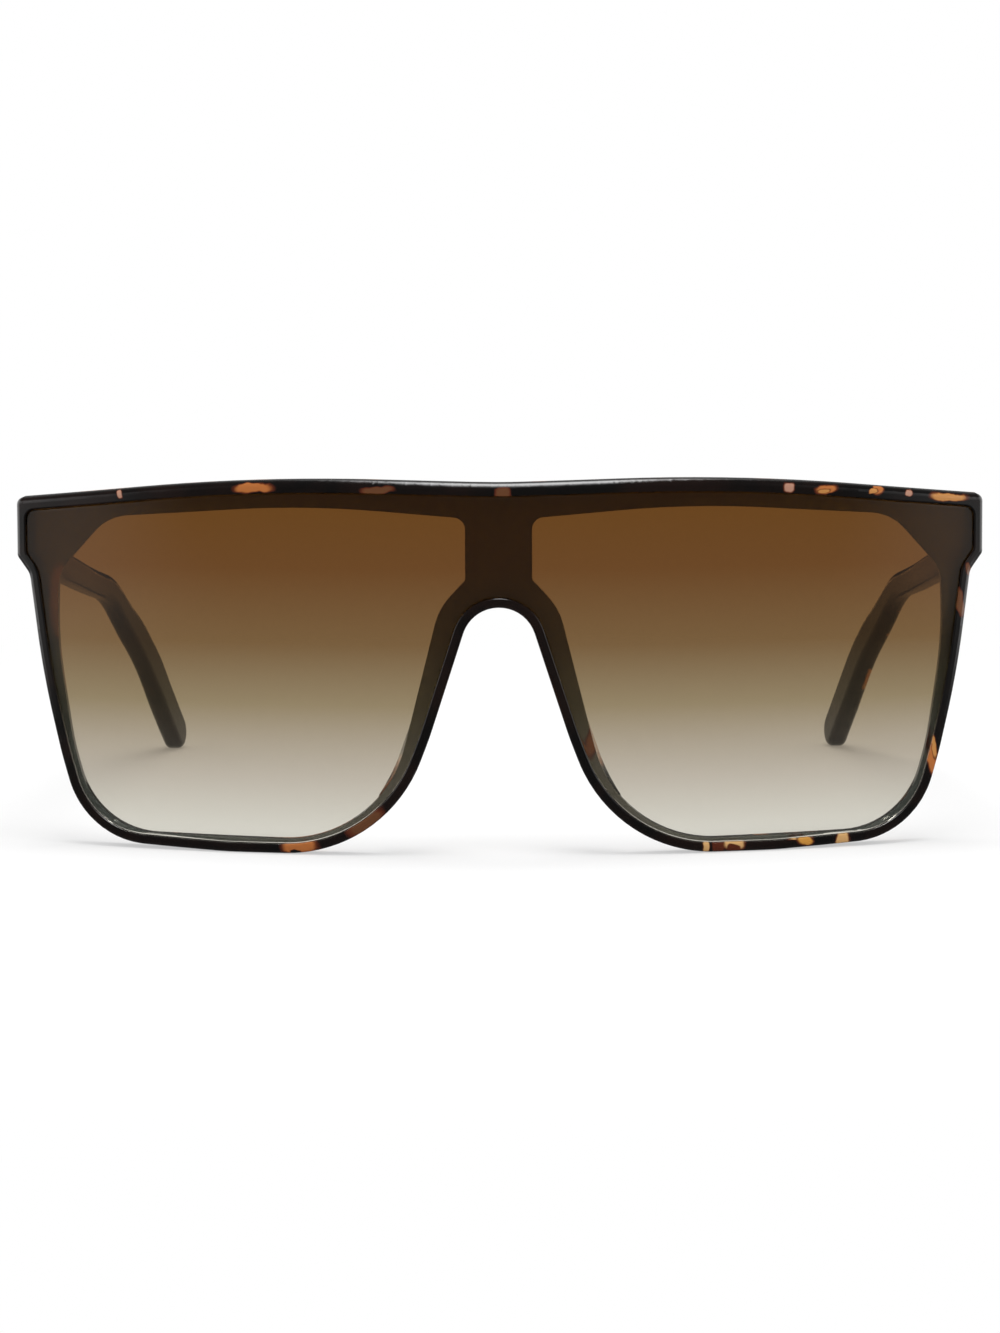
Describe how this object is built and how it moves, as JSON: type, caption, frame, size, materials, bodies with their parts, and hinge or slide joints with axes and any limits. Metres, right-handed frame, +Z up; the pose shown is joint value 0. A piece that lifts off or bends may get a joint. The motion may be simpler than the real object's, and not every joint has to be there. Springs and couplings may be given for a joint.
{
  "type": "flat top sunglasses",
  "caption": "Flat top shield sunglasses: a wrapped tortoise frame with a straight brow, one graduated brown lens behind a raised lip, moulded nose pads and folding temples.",
  "frame": {"origin": "on the surface the glasses stand on, under the middle of their overall width and depth", "axes": "+Z up, -Y the way the lens looks, +X the wearer's left; the two folding hinges lean 10.5 degrees back from +Z"},
  "size_m": [0.15, 0.1504, 0.0571],
  "materials": {
    "frame_tortoise": "polished dark tortoise: near black with amber, orange and reddish brown patches",
    "lens_tint": "glossy tint, dark brown at the top fading to nearly clear at the bottom",
    "hinge_metal": "satin",
    "screw_steel": "machined"
  },
  "bodies": {
    "front": {"front_frame": "frame_tortoise", "shield_lens": "lens_tint", "left_front_hinge_leaf": "hinge_metal", "left_hinge_screw": "screw_steel", "left_front_leaf_screw_1": "screw_steel", "left_front_leaf_screw_2": "screw_steel", "right_front_hinge_leaf": "hinge_metal", "right_hinge_screw": "screw_steel", "right_front_leaf_screw_1": "screw_steel", "right_front_leaf_screw_2": "screw_steel"},
    "left_temple": {"left_temple": "frame_tortoise", "left_temple_hinge_leaf": "hinge_metal", "left_temple_leaf_screw_1": "screw_steel", "left_temple_leaf_screw_2": "screw_steel"},
    "right_temple": {"right_temple": "frame_tortoise", "right_temple_hinge_leaf": "hinge_metal", "right_temple_leaf_screw_1": "screw_steel", "right_temple_leaf_screw_2": "screw_steel"}
  },
  "joints": [
    {"name": "left_fold", "type": "hinge", "parent": "front", "child": "left_temple", "pos_m": [0.07, -0.04698, 0.04836], "axis": [0, 0.1822, 0.9833], "range_deg": [0, 87]},
    {"name": "right_fold", "type": "hinge", "parent": "front", "child": "right_temple", "pos_m": [-0.07, -0.04698, 0.04836], "axis": [0, -0.1822, -0.9833], "range_deg": [0, 82]}
  ]
}
